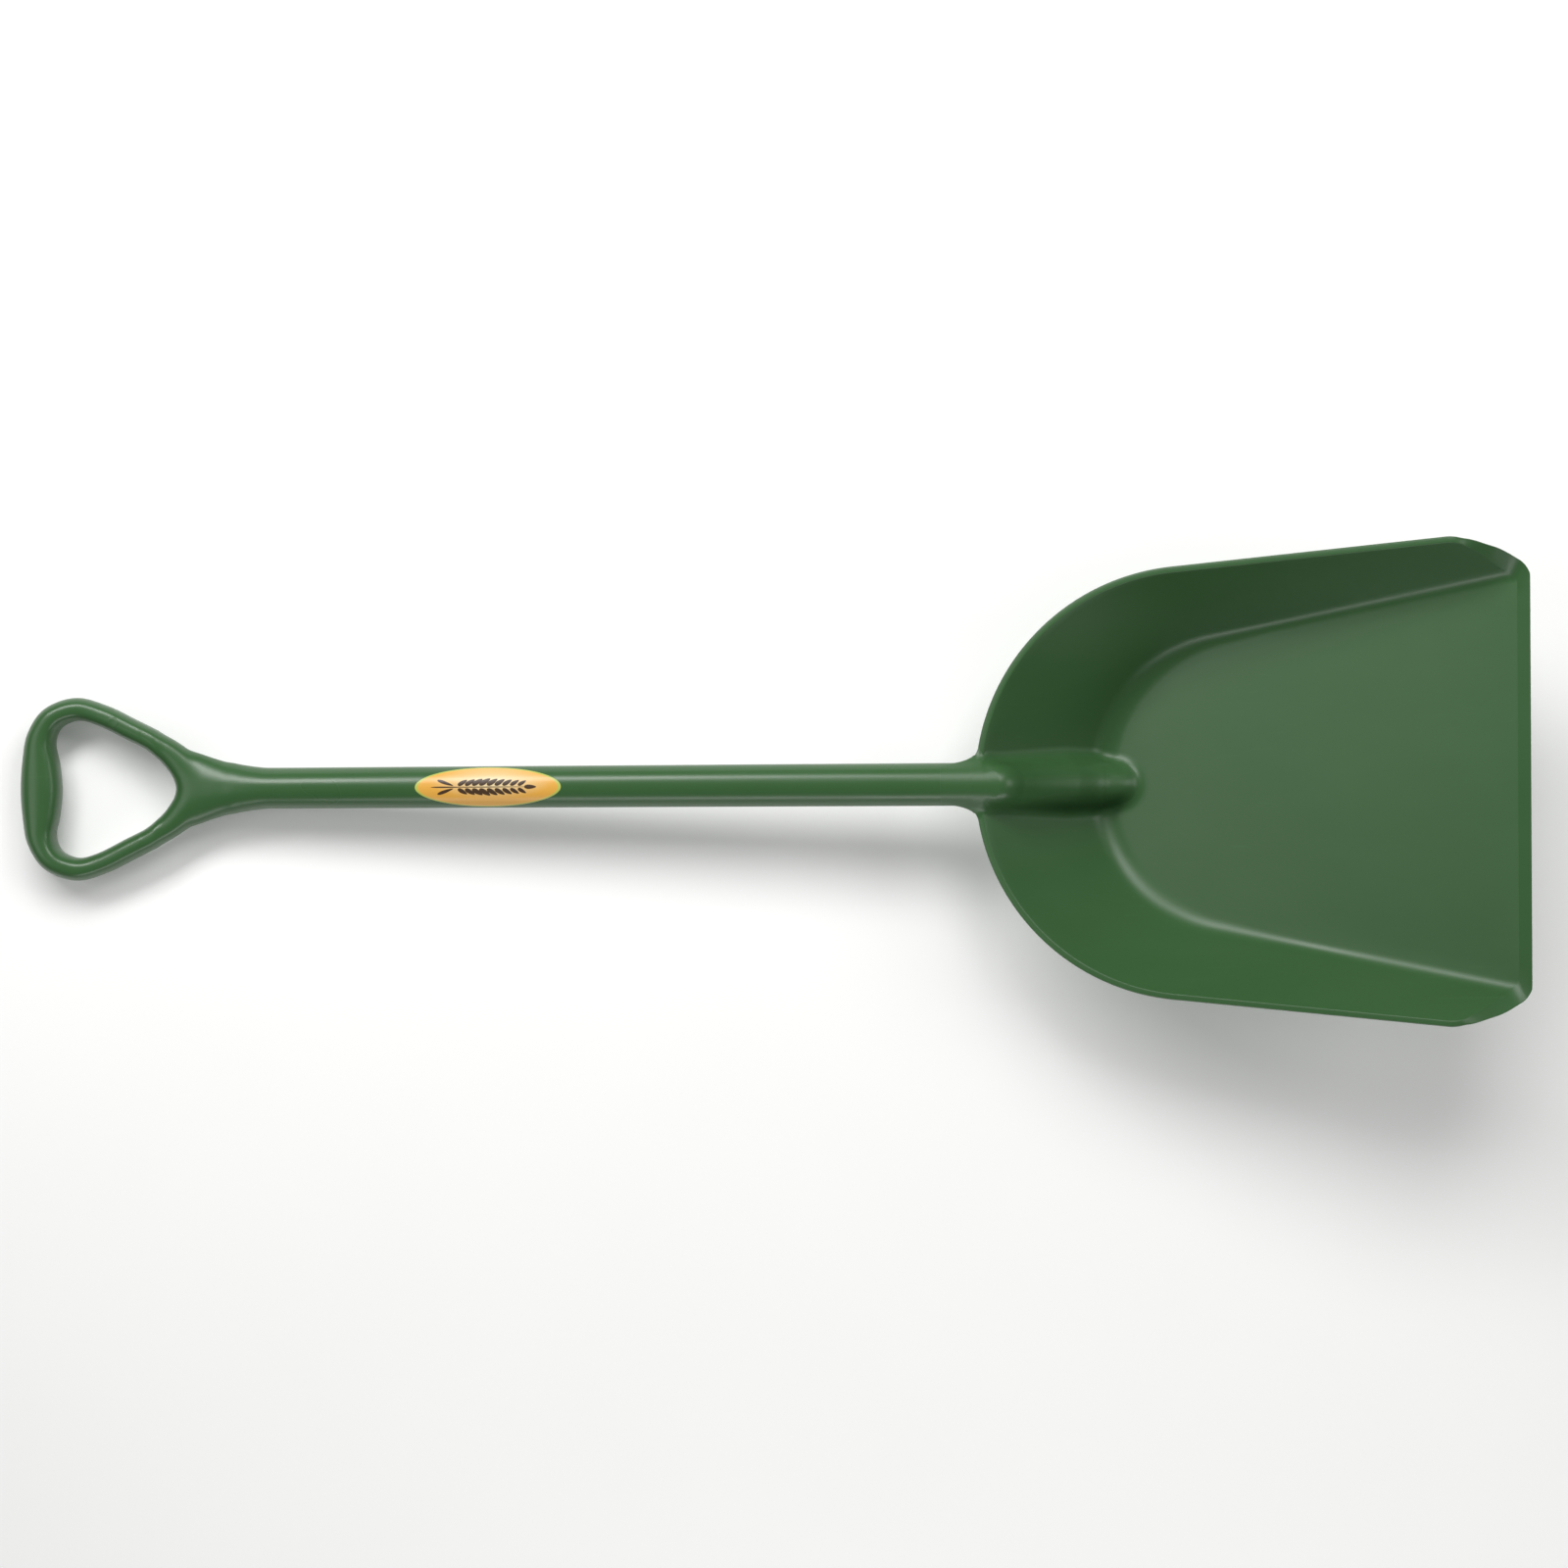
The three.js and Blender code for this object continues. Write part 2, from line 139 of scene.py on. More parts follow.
def closeUp(bm, reach=0.002):
    bmesh.ops.remove_doubles(bm, verts=bm.verts[:], dist=reach)
    bmesh.ops.dissolve_degenerate(bm, dist=reach / 2, edges=bm.edges[:])
    bmesh.ops.recalc_face_normals(bm, faces=bm.faces[:])


def fillRim(bm):
    # closes the one open edge loop that a cut left
    openEdges = [edge for edge in bm.edges if edge.is_boundary]
    if openEdges:
        bmesh.ops.holes_fill(bm, edges=openEdges, sides=0)


def cutOff(bm, place, normal):
    # takes away what lies beyond a plane
    bmesh.ops.bisect_plane(
        bm, geom=bm.verts[:] + bm.edges[:] + bm.faces[:], dist=1e-4,
        plane_co=place, plane_no=normal, clear_outer=True,
    )


def soften(bm, verts, rounds):
    for _ in range(rounds):
        bmesh.ops.smooth_vert(
            bm, verts=verts, factor=0.5, use_axis_x=True, use_axis_y=True, use_axis_z=True,
        )


def asObject(bm, name):
    mesh = bpy.data.meshes.new(name)
    bm.to_mesh(mesh)
    bm.free()
    shape = bpy.data.objects.new(name, mesh)
    bpy.context.scene.collection.objects.link(shape)
    return shape


def voxelled(bm, name, size):
    # the joined body as one skin of even quads
    rough = asObject(bm, name)
    remesh = rough.modifiers.new("evenSkin", "REMESH")
    remesh.mode = "VOXEL"
    remesh.voxel_size = size
    remesh.adaptivity = 0
    ready = rough.evaluated_get(bpy.context.evaluated_depsgraph_get())
    fresh = bmesh.new()
    fresh.from_mesh(ready.to_mesh())
    ready.to_mesh_clear()
    bpy.data.objects.remove(rough)
    return fresh


def settle(bm, name, place, material, sharp=math.radians(38)):
    # the finished mesh goes into the frame, with soft shading and crisp real edges
    bmesh.ops.transform(bm, matrix=place, verts=bm.verts[:])
    for face in bm.faces:
        face.smooth = True
    for edge in bm.edges:
        if len(edge.link_faces) == 2 and edge.calc_face_angle(0) > sharp:
            edge.smooth = False
    piece = asObject(bm, name)
    piece.data.materials.append(material)
    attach(piece, "root")
    print("piece", name, len(piece.data.polygons), "faces")
    return piece


# the scoop's shell

leanTan = math.tan(scoop["wallLean"])
cornerTurn = math.pi / 2 - scoop["wallLean"]


def cornerOf(outside, inside):
    # middle and radius of the rounded foot of a face of the wall
    if outside:
        return 0.0, scoop["cornerRadius"], scoop["cornerRadius"] + outside
    return (scoop["cornerRadius"] - inside) * leanTan, inside, inside


def growAt(z, outside, inside=scoop["backCorner"]):
    # how far a face of the wall stands outside the flat floor's outline, at a height over the floor
    middle, height, radius = cornerOf(outside, inside)
    below = height - z
    if below > radius * math.cos(cornerTurn):
        return middle + math.sqrt(max(radius ** 2 - below ** 2, 0))
    endZ = height - radius * math.cos(cornerTurn)
    return middle + radius * math.sin(cornerTurn) + (z - endZ) * leanTan


crossing = Vector((0, 0, scoop["rimBackHeight"] - lie["underRim"]))
crossing.x = -growAt(crossing.z, 0)
rimSlope = (scoop["rimBackHeight"] - scoop["cheekHeight"]) / (scoop["cheekX"] - crossing.x)


def rimAt(x):
    return scoop["rimBackHeight"] - rimSlope * (x - crossing.x)


def bendHeight(x, start, middle, end):
    # height of a quadratic bend at x
    a = start[0] - 2 * middle[0] + end[0]
    b = 2 * (middle[0] - start[0])
    c = start[0] - x
    t = -c / b if abs(a) < 1e-9 else (-b + math.sqrt(max(b * b - 4 * a * c, 0))) / (2 * a)
    return (1 - t) ** 2 * start[1] + 2 * t * (1 - t) * middle[1] + t * t * end[1]


insideFront = splineThrough(scoop["insideFront"], 80)
outsideFront = splineThrough(scoop["outsideFront"], 80)


def cutHeight(x, outside):
    # side view of the rim, the cheek, the slanted front and the bevelled lip
    soft = scoop["cheekSoftening"]
    cheekX, cheekZ = scoop["cheekX"], scoop["cheekHeight"]
    bevelX = scoop["lipX"] - scoop["bevelWidth"]
    frontTop = scoop["insideFront"][0]
    if x <= cheekX - soft:
        return rimAt(x)
    if x <= frontTop[0]:
        return bendHeight(x, (cheekX - soft, rimAt(cheekX - soft)), (cheekX, cheekZ), frontTop)
    if x > bevelX and not outside:
        return (x - bevelX) / scoop["bevelWidth"] * (scoop["lipEdge"] - scoop["wall"])
    front = outsideFront if outside else insideFront
    return float(np.interp(x, front[:, 0], front[:, 1]))


def roundOff(before, corner, after, radius, steps):
    # a rounded corner in a section, kept within the two edges that meet there
    toBack, toFront = before - corner, after - corner
    longBack, longFront = toBack.length, toFront.length
    if longBack < 1e-6 or longFront < 1e-6 or radius < 1e-3:
        return [corner.copy() for _ in range(steps + 1)]
    toBack, toFront = toBack / longBack, toFront / longFront
    half = toBack.angle(toFront) / 2
    reach = min(radius / math.tan(half), 1.8 * radius, 0.45 * longBack, 0.45 * longFront)
    start, end = corner + toBack * reach, corner + toFront * reach
    bow = []
    for i in range(steps + 1):
        t = i / steps
        weight = 2 * t * (1 - t) * math.sin(half)  # a rational bend, which is a true arc
        total = (1 - t) ** 2 + weight + t * t
        bow.append((start * (1 - t) ** 2 + corner * weight + end * t * t) / total)
    return bow


def faceRun(outside, topZ, endPoint, inside):
    # up one face of the wall: its rounded foot, then the straight wall to endPoint
    middle, height, radius = cornerOf(outside, inside)
    endZ = height - radius * math.cos(cornerTurn)
    reachZ = min(topZ, endZ)
    turnEnd = math.acos(max(min((height - reachZ) / radius, 1), -1)) if reachZ > height - radius else 0.0
    run = []
    for i in range(scoop["cornerSteps"] + 1):
        turn = turnEnd * i / scoop["cornerSteps"]
        run.append(Vector((middle + radius * math.sin(turn), height - radius * math.cos(turn))))
    last = run[-1]
    return run + [last.lerp(endPoint, i / scoop["wallSteps"]) for i in range(1, scoop["wallSteps"] + 1)]


def withCrease(run, inside, crease):
    # lifts the foot of the inner corner, so that it leaves the floor at a small angle
    if crease < 1e-3:
        return run
    reach = inside * math.sin(crease) * 2
    for point in run[1:]:
        away = point.x - run[0].x
        if away < reach:
            point.y = max(point.y, math.tan(crease) * away * (1 - away / (2 * reach)))
    return run


def shellSection(centreGrow, topOf, inside, crease=0.0):
    # one cut through the shell from the middle of the floor, over the rim, to the middle of the underside
    inZ, outZ = topOf(0), topOf(scoop["wall"])
    floorGrow = cornerOf(0, inside)[0]
    innerTop = Vector((growAt(inZ, 0, inside) if inZ > 0 else floorGrow, inZ))
    outerTop = Vector((growAt(outZ, scoop["wall"]), outZ))
    radius = scoop["rimRound"] * min(max((inZ - 7) / 12, 0), 1)  # the rounding fades out towards the lip
    under = [Vector((growAt(z, side, inside), z)) for z, side in ((inZ - 12, 0), (outZ - 12, scoop["wall"]))]
    innerBow = roundOff(under[0], innerTop, outerTop, radius, scoop["roundSteps"])
    outerBow = roundOff(innerTop, outerTop, under[1], radius, scoop["roundSteps"])
    floorZ = min(0.0, inZ)
    steps = scoop["floorSteps"]
    floor = [Vector((centreGrow + (floorGrow - centreGrow) * i / steps, floorZ)) for i in range(steps)]
    if inZ > 0:
        inner = withCrease(faceRun(0, inZ, innerBow[0], inside), inside, crease * min(inZ / 8, 1))
    else:
        inner = [innerBow[0].copy() for _ in range(scoop["cornerSteps"] + scoop["wallSteps"] + 1)]
    outer = faceRun(scoop["wall"], outZ, outerBow[-1], inside)[::-1]
    bottom = [Vector((centreGrow * i / steps, -scoop["wall"])) for i in range(1, steps + 1)]
    return floor + inner + innerBow[1:] + outerBow[:-1] + outer + bottom


def heightWhere(grows, xAt, outside):
    # height at which a face of the wall reaches the rim's cut
    low, high = -scoop["wall"], 150.0
    for _ in range(40):
        middle = (low + high) / 2
        if middle < cutHeight(xAt(grows(middle)), outside):
            low = middle
        else:
            high = middle
    return (low + high) / 2


def cornerAlong(ahead):
    # inside corner radius at a distance ahead of where the round back meets the straight side
    share = float(smoothStep(ahead, -75, 55))
    return scoop["backCorner"] + (scoop["sideCorner"] - scoop["backCorner"]) * share


def sideCut(x):
    # a cut through the straight side, where its floor edge is at x
    spread = scoop["sideSpread"]
    start = Vector((
        scoop["backRadius"] * (1 - math.sin(spread)),
        scoop["backRadius"] * math.cos(spread),
    ))
    foot = Vector((x, start.y + (x - start.x) * math.tan(spread)))
    squareOn = float(smoothStep(x, 95, 230))  # forward of this the cuts run straight across the scoop
    outward = Vector((-math.sin(spread), math.cos(spread)))
    forward = Vector((math.cos(spread), math.sin(spread)))
    step = outward + forward * math.tan(spread) * squareOn
    inside = scoop["sideCorner"]
    if x < 150:
        inside = cornerAlong(x - start.x)
    section = shellSection(
        -foot.y / step.y,
        lambda side: heightWhere(
            lambda z: growAt(max(z, -side), side, inside),
            lambda grow: x + step.x * grow,
            side,
        ),
        inside,
        scoop["crease"] * float(smoothStep(x, 85, 150)),
    )
    return [Vector((foot.x + step.x * p.x, max(foot.y + step.y * p.x, 0), p.y)) for p in section]


def sideRow(x):
    # round the lip's corner the outside of a row lies further forward than its inside
    inner = sideCut(x)
    if x <= scoop["insideFront"][0][0]:
        return inner
    outer = sideCut(float(np.interp(x, *zip(*scoop["rowSkew"]))))
    half = scoop["floorSteps"] + scoop["cornerSteps"] + 1 + scoop["wallSteps"] + scoop["roundSteps"]
    return inner[:half] + outer[half:]


def backRow(turn):
    # a cut through the round back, at an angle round the middle of its curve
    radius = scoop["backRadius"]
    inside = cornerAlong(-radius * (turn - math.pi / 2 - scoop["sideSpread"]))
    section = shellSection(
        -radius,
        lambda side: heightWhere(
            lambda z: growAt(max(z, -side), side, inside),
            lambda grow: radius + (radius + grow) * math.cos(turn),
            side,
        ),
        inside,
    )
    return [
        Vector((radius + (radius + p.x) * math.cos(turn), abs((radius + p.x) * math.sin(turn)), p.y)) for p in section
    ]


def shellBody():
    lipX, cheekX = scoop["lipX"], scoop["cheekX"]
    bevelX = lipX - scoop["bevelWidth"]
    sideStart = scoop["backRadius"] * (1 - math.sin(scoop["sideSpread"]))
    ahead = [lipX - scoop["bevelWidth"] * share for share in (0, 0.04, 0.12, 0.24, 0.38, 0.52, 0.66, 0.8, 0.95)]
    front = [bevelX - 0.4 - (bevelX - cheekX - 9) * (i / 18) ** 1.1 for i in range(19)]
    cheek = [cheekX + 8 - i for i in range(0, 17, 1)]
    side = list(np.linspace(cheek[-1] - 4, sideStart, 30))
    rows = [sideRow(float(x)) for x in ahead + [bevelX] + front + cheek + side]
    first = math.pi / 2 + scoop["sideSpread"]
    turns = np.linspace(first, math.pi, 52)[1:]
    rows += [backRow(float(turn)) for turn in turns]
    bm = bmesh.new()
    mouldSheet(bm, len(rows[0]) - 1, len(rows) - 1, lambda i, j: rows[j][i])
    bmesh.ops.remove_doubles(bm, verts=bm.verts[:], dist=0.002)
    for vert in bm.verts:
        if vert.co.y < 0.01:
            vert.co.y = 0
    bmesh.ops.mirror(bm, geom=bm.verts[:] + bm.edges[:] + bm.faces[:], merge_dist=0.005, axis="Y")
    bmesh.ops.remove_doubles(bm, verts=bm.verts[:], dist=0.002)
    bmesh.ops.dissolve_degenerate(bm, dist=0.001, edges=bm.edges[:])
    fillRim(bm)
    bmesh.ops.recalc_face_normals(bm, faces=bm.faces[:])
    return bm


# the neck and the raised socket, which flow out of the back wall

socket = {
    "noseX": 19.5,
    "noseRadius": 14.0,
    "shaftRadius": 16.0,
    "neckLength": 33.0,
    "insideBlend": 10.0,  # how widely the socket flows into the inside of the scoop
    "outsideBlend": 12.0,  # how widely the neck flows into the outside of the back wall
    "halfWidth": 47.0,  # the body reaches this far to each side and is sunk into the wall at its edges
    "frontX": 50.0,
    "sink": 0.4,
    "skin": 1.1,  # spacing of its faces
}

handleAxis = Vector((math.cos(lie["handleLift"]), 0, -math.sin(lie["handleLift"])))


def wallPoint(share, forward):
    z = share * crossing.z
    return (-growAt(z, 0) + forward, 0, z)


socketKnots = [
    tuple(crossing - handleAxis * 12),
    tuple(crossing),
    tuple(crossing + handleAxis * 9),
    wallPoint(0.85, 5),
    wallPoint(0.69, 2),
    wallPoint(0.5, 0),
    wallPoint(0.32, 0),
    (-12, 0, 11),
    (socket["noseX"] - socket["noseRadius"], 0, 0),
]
socketRadii = [16, 16, 16, 16, 17, 18.5, 19.5, 18.5, 14]
socketLine = splineThrough(socketKnots, 140)
socketSize = np.interp(np.linspace(0, 8, 140), range(9), socketRadii)


def insideOf(points, outside):
    # signed distance into the scoop's inner (outside = 0) or outer face, positive within it
    x, y, z = points[:, 0], np.abs(points[:, 1]), points[:, 2]
    centre, spread = scoop["backRadius"], scoop["sideSpread"]
    ahead = (x - centre) * math.cos(spread) + y * math.sin(spread)
    side = -(x - centre) * math.sin(spread) + y * math.cos(spread)
    grow = np.where(ahead > 0, side, np.hypot(x - centre, y)) - centre
    middle, height, radius = cornerOf(outside, scoop["backCorner"])
    grow, down = grow - middle, z - height
    lean = scoop["wallLean"]
    toFloor = z + outside
    toWall = radius - (grow * math.cos(lean) - down * math.sin(lean))
    toCorner = radius - np.hypot(grow, down)
    inCorner = (grow > 0) & (grow * math.sin(lean) + down * math.cos(lean) < 0)
    return np.where(inCorner, toCorner, np.where(grow <= 0, np.minimum(toFloor, toWall), toWall))


def softMin(a, b, width):
    return np.minimum(a, b) - np.maximum(width - np.abs(a - b), 0) ** 2 / (4 * width)


def fromRod(points):
    away = points - np.array(crossing)
    along = away @ np.array(handleAxis)
    return np.linalg.norm(away - along[:, None] * np.array(handleAxis), axis=1) - socket["shaftRadius"]


def fromSocket(points):
    nearest = np.full(len(points), 1e9)
    for middle, radius in zip(socketLine, socketSize):
        np.minimum(nearest, np.linalg.norm(points - middle, axis=1) - radius, out=nearest)
    return nearest


def socketField(points):
    # negative within the neck, the socket and the wall round them
    rod, raised = fromRod(points), fromSocket(points)
    inWide, outWide = socket["insideBlend"], socket["outsideBlend"]
    sunkIn = socket["sink"] * smoothStep(raised, inWide + 0.5, inWide + 9)
    sunkOut = socket["sink"] * smoothStep(rod, outWide + 0.5, outWide + 9)
    overRim = points[:, 2] - rimAt(points[:, 0])
    shell = -insideOf(points, scoop["wall"]) + sunkOut
    wall = -softMin(-shell, -(overRim + sunkOut), 2.5)
    outer = softMin(wall, rod, outWide)
    hollow = softMin(insideOf(points, 0) + sunkIn, raised, inWide)
    edgeWide = 0.05 + 2.4 * smoothStep(np.minimum(rod, raised), 1, 6)
    return -softMin(-outer, -hollow, edgeWide)


def snapTo(bm, field, rounds, limit):
    # every point slides along its normal onto the surface where the field is nought
    for _ in range(rounds):
        bm.normal_update()
        places = np.array([vert.co for vert in bm.verts])
        normals = np.array([vert.normal for vert in bm.verts])
        moves = np.clip(field(places), -limit, limit)
        for vert, move, normal in zip(bm.verts, moves, normals):
            vert.co -= Vector(normal) * float(move)


def clippedRing(middle, aside, up, radius, turn):
    # a point on a ring round the socket's line, pulled in where it would come out under the scoop
    direction = aside * math.cos(turn) + up * math.sin(turn)
    low, high = 0.0, 1.0
    for _ in range(14):
        share = (low + high) / 2
        point = np.array([middle + direction * radius * share])
        if insideOf(point, scoop["wall"])[0] > 0.8:
            low = share
        else:
            high = share
    return middle + direction * radius * low


def socketBody(shell):
    joined = bmesh.new()
    # the wall round the socket
    near = shell.copy()
    edges = (
        (Vector((0, 1, 0)), socket["halfWidth"]),
        (Vector((0, -1, 0)), socket["halfWidth"]),
        (Vector((1, 0, 0)), socket["frontX"]),
    )
    for normal, reach in edges:
        cutOff(near, normal * reach, normal)
        fillRim(near)
    bmesh.ops.recalc_face_normals(near, faces=near.faces[:])
    near.normal_update()
    for vert, normal in [(vert, vert.normal.copy()) for vert in near.verts]:
        vert.co -= normal * socket["sink"]
    addTo(joined, near)
    # the raised socket, with its round nose
    rings, turns = [], 40
    stations = list(range(8, 140, 3)) + [139]
    for k in stations:
        tangent = Vector(socketLine[min(k + 1, 139)] - socketLine[max(k - 1, 0)]).normalized()
        up = np.array((-tangent.z, 0, tangent.x))
        rings.append([
            Vector(clippedRing(socketLine[k], np.array((0, 1, 0)), up, socketSize[k], 2 * math.pi * i / turns))
            for i in range(turns)
        ])
    nose = socketLine[-1]
    for k in range(1, 10):
        bow = math.pi / 2 * k / 9
        middle = nose + np.array((1, 0, 0)) * socket["noseRadius"] * math.sin(bow)
        size = socket["noseRadius"] * max(math.cos(bow), 1e-4)
        rings.append([
            Vector(clippedRing(middle, np.array((0, 1, 0)), np.array((0, 0, 1)), size, 2 * math.pi * i / turns))
            for i in range(turns)
        ])
    start = sum(rings[0], Vector()) / turns
    rings.insert(0, [start] * turns)
    raised = bmesh.new()
    mouldSheet(raised, turns, len(rings) - 1, lambda i, j: rings[j][i % turns])
    closeUp(raised)
    addTo(joined, raised)
    # the neck, from behind its joint to the middle of the wall
    neck = bmesh.new()
    bmesh.ops.create_cone(
        neck, cap_ends=True, segments=64, radius1=socket["shaftRadius"], radius2=socket["shaftRadius"], depth=80,
    )
    alongHandle = Matrix.Rotation(lie["handleLift"], 4, "Y") @ Matrix.Rotation(math.pi / 2, 4, "Y")
    place = Matrix.Translation(crossing) @ alongHandle
    bmesh.ops.transform(neck, matrix=place, verts=neck.verts[:])
    inward = Vector((math.cos(scoop["wallLean"]), 0, math.sin(scoop["wallLean"])))
    cutOff(neck, crossing - inward * 2, inward)
    fillRim(neck)
    closeUp(neck)
    addTo(joined, neck)
    bm = voxelled(joined, "socketRough", socket["skin"])
    snapTo(bm, socketField, 4, 1.2)
    for _ in range(2):
        soften(bm, bm.verts[:], 2)
        snapTo(bm, socketField, 3, 0.8)
    cutOff(bm, crossing - handleAxis * socket["neckLength"], -handleAxis)
    fillRim(bm)
    bmesh.ops.recalc_face_normals(bm, faces=bm.faces[:])
    return bm


def addTo(target, source):
    # copies one body into another through a mesh, and frees the first
    carrier = bpy.data.meshes.new("carrier")
    source.to_mesh(carrier)
    source.free()
    target.from_mesh(carrier)
    bpy.data.meshes.remove(carrier)


# places in the frame

millimetres = Matrix.Scale(0.001, 4)
heel = scoop["cornerRadius"] + scoop["wall"]
backOfFloor = Vector((
    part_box("scoop_blade")[1].x * 1000 - scoop["lipX"] * math.cos(lie["tilt"]) - scoop["wall"] * math.sin(lie["tilt"]),
    0,
    heel - scoop["cornerRadius"] * math.cos(lie["tilt"]),
))
scoopPlace = millimetres @ Matrix.Translation(backOfFloor) @ Matrix.Rotation(-lie["tilt"], 4, "Y")
handlePlace = scoopPlace @ Matrix.Translation(crossing) @ Matrix.Rotation(lie["handleLift"], 4, "Y")


# materials

def newGroup(name, inputs, outputs):
    group = bpy.data.node_groups.new(name, "ShaderNodeTree")
    for label, kind, value in inputs:
        made = group.interface.new_socket(label, in_out="INPUT", socket_type=kind)
        made.default_value = value
    for label, kind in outputs:
        group.interface.new_socket(label, in_out="OUTPUT", socket_type=kind)
    return group, group.nodes.new("NodeGroupInput"), group.nodes.new("NodeGroupOutput")


def addNode(tree, kind, values=(), **settings):
    node = tree.nodes.new(kind)
    for key, value in settings.items():
        setattr(node, key, value)
    for key, value in dict(values).items():
        node.inputs[key].default_value = value
    return node


def mixColour(tree, factor, first, second, blend="MIX"):
    # each of the three is a socket or a plain value
    mix = addNode(tree, "ShaderNodeMix", data_type="RGBA", blend_type=blend)
    for socketIndex, given in ((0, factor), (6, first), (7, second)):
        if isinstance(given, bpy.types.NodeSocket):
            tree.links.new(given, mix.inputs[socketIndex])
        else:
            mix.inputs[socketIndex].default_value = given
    return mix.outputs[2]


def rangeOf(tree, value, low, high, toLow=0.0, toHigh=1.0):
    node = addNode(tree, "ShaderNodeMapRange", {1: low, 2: high, 3: toLow, 4: toHigh})
    tree.links.new(value, node.inputs[0])
    return node.outputs[0]


def sumOf(tree, first, second, kind="ADD"):
    node = addNode(tree, "ShaderNodeMath", operation=kind)
    for index, given in enumerate((first, second)):
        if isinstance(given, bpy.types.NodeSocket):
            tree.links.new(given, node.inputs[index])
        else:
            node.inputs[index].default_value = given
    return node.outputs[0]


def mouldedSkinGroup():
    # the fine grain and the slow sinks that a moulded plastic face has
    group, entry, outlet = newGroup(
        "mouldedSkin",
        [
            ("Place", "NodeSocketVector", (0, 0, 0)),
            ("Grain Scale", "NodeSocketFloat", 900.0),
            ("Sink Scale", "NodeSocketFloat", 14.0),
            ("Grain", "NodeSocketFloat", 0.4),
            ("Sinks", "NodeSocketFloat", 1.0),
        ],
        [("Height", "NodeSocketFloat"), ("Mottle", "NodeSocketFloat")],
    )
    grain = addNode(group, "ShaderNodeTexNoise", {"Detail": 3.0, "Roughness": 0.6})
    sinks = addNode(group, "ShaderNodeTexNoise", {"Detail": 2.0, "Roughness": 0.45})
    for texture, scale in ((grain, "Grain Scale"), (sinks, "Sink Scale")):
        group.links.new(entry.outputs["Place"], texture.inputs["Vector"])
        group.links.new(entry.outputs[scale], texture.inputs["Scale"])
    fine = sumOf(group, grain.outputs[0], entry.outputs["Grain"], "MULTIPLY")
    slow = sumOf(group, sinks.outputs[0], entry.outputs["Sinks"], "MULTIPLY")
    group.links.new(sumOf(group, fine, slow), outlet.inputs["Height"])
    group.links.new(sinks.outputs[0], outlet.inputs["Mottle"])
    return group


def flowTintGroup():
    # pigment that isn't quite even, drawn out along the length in the way the plastic ran
    group, entry, outlet = newGroup(
        "flowTint",
        [
            ("Place", "NodeSocketVector", (0, 0, 0)),
            ("Colour", "NodeSocketColor", (0.05, 0.12, 0.04, 1)),
            ("Lighter", "NodeSocketColor", (0.07, 0.15, 0.06, 1)),
            ("Amount", "NodeSocketFloat", 0.5),
        ],
        [("Colour", "NodeSocketColor"), ("Clouds", "NodeSocketFloat")],
    )
    drawn = addNode(group, "ShaderNodeMapping", {"Scale": (0.35, 1.0, 1.0)})
    group.links.new(entry.outputs["Place"], drawn.inputs["Vector"])
    clouds = addNode(group, "ShaderNodeTexNoise", {"Scale": 11.0, "Detail": 5.0, "Roughness": 0.55})
    speckle = addNode(group, "ShaderNodeTexNoise", {"Scale": 1600.0, "Detail": 1.0})
    group.links.new(drawn.outputs[0], clouds.inputs["Vector"])
    group.links.new(entry.outputs["Place"], speckle.inputs["Vector"])
    cloudMask = rangeOf(group, clouds.outputs[0], 0.35, 0.7)
    speckMask = rangeOf(group, speckle.outputs[0], 0.62, 0.75, 0.0, 0.35)
    mask = sumOf(group, sumOf(group, cloudMask, speckMask), entry.outputs["Amount"], "MULTIPLY")
    tinted = mixColour(group, mask, entry.outputs["Colour"], entry.outputs["Lighter"])
    group.links.new(tinted, outlet.inputs["Colour"])
    group.links.new(cloudMask, outlet.inputs["Clouds"])
    return group


def handlingGroup():
    # hairline rubs from stacking and packing
    group, entry, outlet = newGroup(
        "handlingRubs",
        [("Place", "NodeSocketVector", (0, 0, 0)), ("Density", "NodeSocketFloat", 0.5)],
        [("Rubs", "NodeSocketFloat")],
    )
    stretched = addNode(group, "ShaderNodeMapping", {"Scale": (6.0, 260.0, 60.0), "Rotation": (0.1, 0.05, 0.16)})
    group.links.new(entry.outputs["Place"], stretched.inputs["Vector"])
    lines = addNode(group, "ShaderNodeTexNoise", {"Scale": 1.6, "Detail": 2.0, "Roughness": 0.5})
    group.links.new(stretched.outputs[0], lines.inputs["Vector"])
    patches = addNode(group, "ShaderNodeTexNoise", {"Scale": 9.0, "Detail": 1.0})
    group.links.new(entry.outputs["Place"], patches.inputs["Vector"])
    hair = rangeOf(group, lines.outputs[0], 0.66, 0.74)
    where = rangeOf(group, patches.outputs[0], 0.5, 0.65)
    both = sumOf(group, hair, where, "MULTIPLY")
    group.links.new(sumOf(group, both, entry.outputs["Density"], "MULTIPLY"), outlet.inputs["Rubs"])
    return group


groups = {
    "skin": mouldedSkinGroup(),
    "tint": flowTintGroup(),
    "rubs": handlingGroup(),
}


def useGroup(tree, name, place, values):
    node = addNode(tree, "ShaderNodeGroup", node_tree=groups[name])
    for key, value in values.items():
        node.inputs[key].default_value = value
    tree.links.new(place, node.inputs["Place"])
    return node


